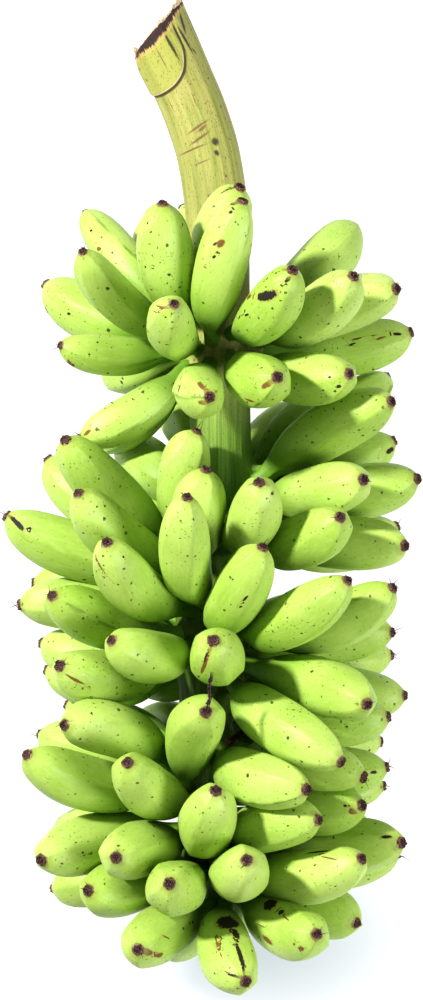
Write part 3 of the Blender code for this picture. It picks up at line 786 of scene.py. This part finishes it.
scar_colour = scar.part("Z").mix((0.018, 0.014, 0.011, 1), (0.17, 0.085, 0.02, 1))
peel = (scar_off.fall(1.05, 1.3) * 0.5).mix(peel, (0.35, 0.25, 0.04, 1))
hurt = scar_off.fall(0.85, 1.0)
peel = hurt.mix(peel, scar_colour)
end = along + (ragged - 0.5) * 0.012
peel = (end.rise(0.96, 0.985) * 0.5).mix(peel, (0.30, 0.36, 0.06, 1))
peel = (end.rise(0.988, 0.996) * 0.8).mix(peel, (0.16, 0.09, 0.05, 1))
skin.set(base_color=peel, roughness=mottle * 0.14 + hurt * 0.2 + 0.42)
skin.set(normal=skin.bumped(mottle * 0.5 + streak * 0.3 - hurt * 0.6, 0.25, 0.0012))


pieces = {}
for finger in fingers:
    finger["tone"] = chance.uniform(0, 1)
    finger["clear"] = chance.uniform(0, 1) - MORE_DOTS_ON_TOP * ("hand_1" in finger["node"])
    finger["seed"] = FLOW_SHIFT * (2 * len(pieces) + finger["which"])
    finger["name"] = f"{finger['node']}_{finger['which']}"
    pieces.setdefault(finger["node"], []).append(finger)
finger_ends = {}
for node, pair in pieces.items():
    shells, values, ends = zip(*(finger_shell(finger) for finger in pair))
    finger_ends |= {finger["name"]: end for finger, end in zip(pair, ends)}
    carried = {label: np.concatenate([one[label] for one in values]) for label in values[0]}
    piece = skin_mesh(node.replace("hand", "fingers"), shells, carried)
    piece.data.materials.append(skin.material)
    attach(piece, "root")
    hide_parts(node)

# The flower scars. Where its flower dried off, each finger ends in a dark crumbly cup some seven
# millimetres across, and about half of them keep black withered threads of the flower.
SCAR_SIDES = 22
CUP_VARIES = (0.95, 1.15)
CUP_LOBES = (3, 7)
LOBE_DEPTH = 0.10
EDGE_RAGGED = 0.05
CRUMB_DEPTH = 0.00028
STUB_SCAR_RADIUS = 0.0062
WITH_THREADS = 0.55
THREADS = (3, 7)
THREAD_RINGS = 7
THREAD_SIDES = 6
THREAD_LENGTH = (0.002, 0.0062)
THREAD_RADIUS = 0.00042
THREAD_TAPER = 0.75
THREAD_SPREADS = 0.5
THREAD_BENDS = 0.4

# The cup's rings: metres past the finger's end, and share of the end's radius. Then how much of the
# pale colour of the rim each ring has.
CUP = (
    (-0.0030, 0.90), (-0.0006, 1.04), (0.0007, 1.02), (0.0016, 0.86), (0.0013, 0.66),
    (0.0005, 0.48), (0.0011, 0.26), (0.0012, 0.06),
)
CUP_RIM = (0.0, 0.9, 1.0, 0.8, 0.3, 0.0, 0.35, 0.2)

shells = []
rims = []


def ring_across(way, aslant, sides):
    """Directions all round a line that runs this way."""
    side = np.cross(way, aslant)
    side /= np.linalg.norm(side)
    other = np.cross(way, side)
    angle = np.linspace(0, 2 * math.pi, sides, endpoint=False)
    return np.cos(angle)[:, None] * side + np.sin(angle)[:, None] * other


def add_thread(start, way, length, bend, thickness, paleness=0.0):
    """Adds a thin tapering thread that bends as it leaves its start."""
    u = np.linspace(0, 1, THREAD_RINGS)
    middle = start + way * (u * length)[:, None] + bend * (u**2 * length)[:, None]
    ring = ring_across(way, (0.31, 0.52, 0.79), THREAD_SIDES)
    radius = thickness * (1 - THREAD_TAPER * u)
    shells.append(middle[:, None] + ring[None] * radius[:, None, None])
    rims.append(np.full(THREAD_RINGS * THREAD_SIDES, paleness))


stub_end = (stub_root + stub_way * STUB_OUT, stub_way, STUB_SCAR_RADIUS)
angle = np.linspace(0, 2 * math.pi, SCAR_SIDES, endpoint=False)
for middle, way, size in [*finger_ends.values(), stub_end]:
    ring = ring_across(way, (0.3, 0.5, 0.8), SCAR_SIDES)
    width = size * chance.uniform(*CUP_VARIES)
    lobes = 1 + LOBE_DEPTH * np.sin(angle * chance.integers(*CUP_LOBES) + chance.uniform(0, 6))
    lobes += EDGE_RAGGED * chance.normal(0, 1, SCAR_SIDES)
    rows = []
    for out, wide in CUP:
        rough = chance.normal(0, CRUMB_DEPTH, SCAR_SIDES) * (wide < 1.0)
        rows.append(middle + way * (out + rough)[:, None] + ring * (width * wide * lobes)[:, None])
    shells.append(np.array(rows))
    rims.append(np.repeat(CUP_RIM, SCAR_SIDES))
    if chance.uniform() < WITH_THREADS:
        for _ in range(chance.integers(*THREADS)):
            start = middle + ring[chance.integers(SCAR_SIDES)] * width * 0.6
            lean = way + THREAD_SPREADS * chance.normal(0, 1, 3)
            lean /= np.linalg.norm(lean)
            length = chance.uniform(*THREAD_LENGTH)
            bend = THREAD_BENDS * chance.normal(0, 1, 3)
            add_thread(start, lean, length, bend, THREAD_RADIUS)

# One whole withered flower still hangs on a finger in the middle, a crooked row of short strands,
# and the stub of a bract stands out of the crown beside it. A strand is its thickness and how far
# it is off the middle.
HANGS_ON = "hand_4_pair_03_1"
HANGING_JOINTS = 5
HANGING_STEP = 0.0052
HANGING_LENGTH = 0.0075
HANGING_STRANDS = ((0.0011, 0.0), (0.0006, 0.0012))
BRACT_FROM_END = 0.515
BRACT_BEARING = 50
BRACT_LEANS = 0.45
BRACT_LENGTH = 0.020
BRACT_BEND = (0.1, 0.3, 0.2)
BRACT_STRANDS = ((0.0021, 0.0), (0.0015, 0.0017))
BRACT_PALENESS = 0.6

knot = finger_ends[HANGS_ON][0]
for joint in range(HANGING_JOINTS):
    lean = np.array([0.30 * math.sin(joint * 2.1) + 0.12, 1.0, 0.25 * math.cos(joint * 1.7)])
    lean /= np.linalg.norm(lean)
    bend = np.array([0.2 - 0.1 * joint, 0, 0.1])
    for thick, off in HANGING_STRANDS:
        add_thread(knot + (off, 0, off), lean, HANGING_LENGTH, bend, thick)
    knot = knot + lean * HANGING_STEP
bract_place = (np.array([long - BRACT_FROM_END]), np.radians([BRACT_BEARING]))
bract_at, bract_way, bract_side = stalk_places(*bract_place)
bract_way = bract_way[0] + BRACT_LEANS * bract_side[0]
for thick, off in BRACT_STRANDS:
    start = bract_at[0] + (0, off, off)
    add_thread(start, bract_way, BRACT_LENGTH, np.array(BRACT_BEND), thick, BRACT_PALENESS)

flower = Finish("dried_flower", roughness=0.85, specular_ior_level=0.3)
crumb = flower.place().clouds(1300.0, 3.0, 0.7)
pale_crumb = flower.value("rim").mix((0.17, 0.10, 0.095, 1), (0.34, 0.20, 0.14, 1))
deep_crumb = flower.value("rim").mix((0.020, 0.010, 0.011, 1), (0.075, 0.032, 0.022, 1))
flower.set(base_color=crumb.rise(0.48, 0.66).mix(deep_crumb, pale_crumb))
flower.set(normal=flower.bumped(crumb, 0.8, 0.0008))
scars = skin_mesh("flower_scars", shells, {"rim": np.concatenate(rims)})
scars.data.materials.append(flower.material)
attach(scars, "root")

# The view. The bunch lies on its back and is looked at from straight above, with the cut end of
# its stalk away from the viewer and the whole length of the bunch just filling the picture.
VIEW_HEIGHT = 0.700
CAMERA_FROM_CUT = (0.0405, -0.337, 2.8)
SENSOR = 36.0

camera_data = bpy.data.cameras.new("camera")
camera_data.sensor_fit = "VERTICAL"
camera_data.sensor_height = SENSOR
camera_data.lens = SENSOR * CAMERA_FROM_CUT[2] / VIEW_HEIGHT
camera = bpy.data.objects.new("camera", camera_data)
camera.location = stalk_line[-1] + CAMERA_FROM_CUT
bpy.context.scene.collection.objects.link(camera)
bpy.context.scene.camera = camera

# The studio: a plain pale floor that glows so that it stays white, less so in a soft patch under
# the thin end of the bunch that is a painted shadow, a crisp key lamp on the left towards the cut,
# a soft lamp on the right towards the thin end, and an even white surround.
FLOOR_HALF = 6.0
FLOOR_GLOW = 0.84
SHADE_AT = (0.03, -0.325)
SURROUND_GLOW = 0.23
floor_mesh = bpy.data.meshes.new("floor")
corners = ((-1, -1), (1, -1), (1, 1), (-1, 1))
floor_mesh.from_pydata([(x * FLOOR_HALF, y * FLOOR_HALF, 0) for x, y in corners], [], [(0, 1, 2, 3)])
floor = bpy.data.objects.new("floor", floor_mesh)
bpy.context.scene.collection.objects.link(floor)
pale = Finish("pale_floor", roughness=0.9, base_color=(0.14, 0.15, 0.16, 1), specular_ior_level=0.1)
# The floor's glow dims round SHADE_AT in a soft patch: a painted shadow on the floor.
from_shade = pale.place().moved((-SHADE_AT[0], -SHADE_AT[1], 0.0))
spread = from_shade.stretched((1.0, 1.7, 1.0)).length()
glow_and_painted_shadow = spread.rise(0.01, 0.15).mix((0.55, 0.61, 0.63, 1), (0.99, 0.995, 1.0, 1))
pale.set(emission_color=glow_and_painted_shadow, emission_strength=FLOOR_GLOW)
floor.data.materials.append(pale.material)


def lamp(name, location, size, watts, colour):
    """A round lamp that faces the bunch."""
    data = bpy.data.lights.new(name, "AREA")
    data.shape = "DISK"
    data.size = size
    data.energy = watts
    data.color = colour
    made = bpy.data.objects.new(name, data)
    made.location = location
    made.rotation_mode = "QUATERNION"
    made.rotation_quaternion = made.location.to_track_quat("Z", "Y")
    bpy.context.scene.collection.objects.link(made)


lamp("key", (-1.95, 1.25, 2.15), 0.32, 147, (1.0, 0.99, 0.96))
lamp("side", (2.0, -0.9, 1.9), 1.2, 60, (0.97, 0.99, 1.0))
world = bpy.data.worlds.new("surround")
world.use_nodes = True
world.node_tree.nodes["Background"].inputs["Color"].default_value = (1.0, 1.0, 1.0, 1)
world.node_tree.nodes["Background"].inputs["Strength"].default_value = SURROUND_GLOW
bpy.context.scene.world = world
bpy.context.scene.view_settings.view_transform = "Standard"
bpy.context.scene.view_settings.look = "Medium High Contrast"
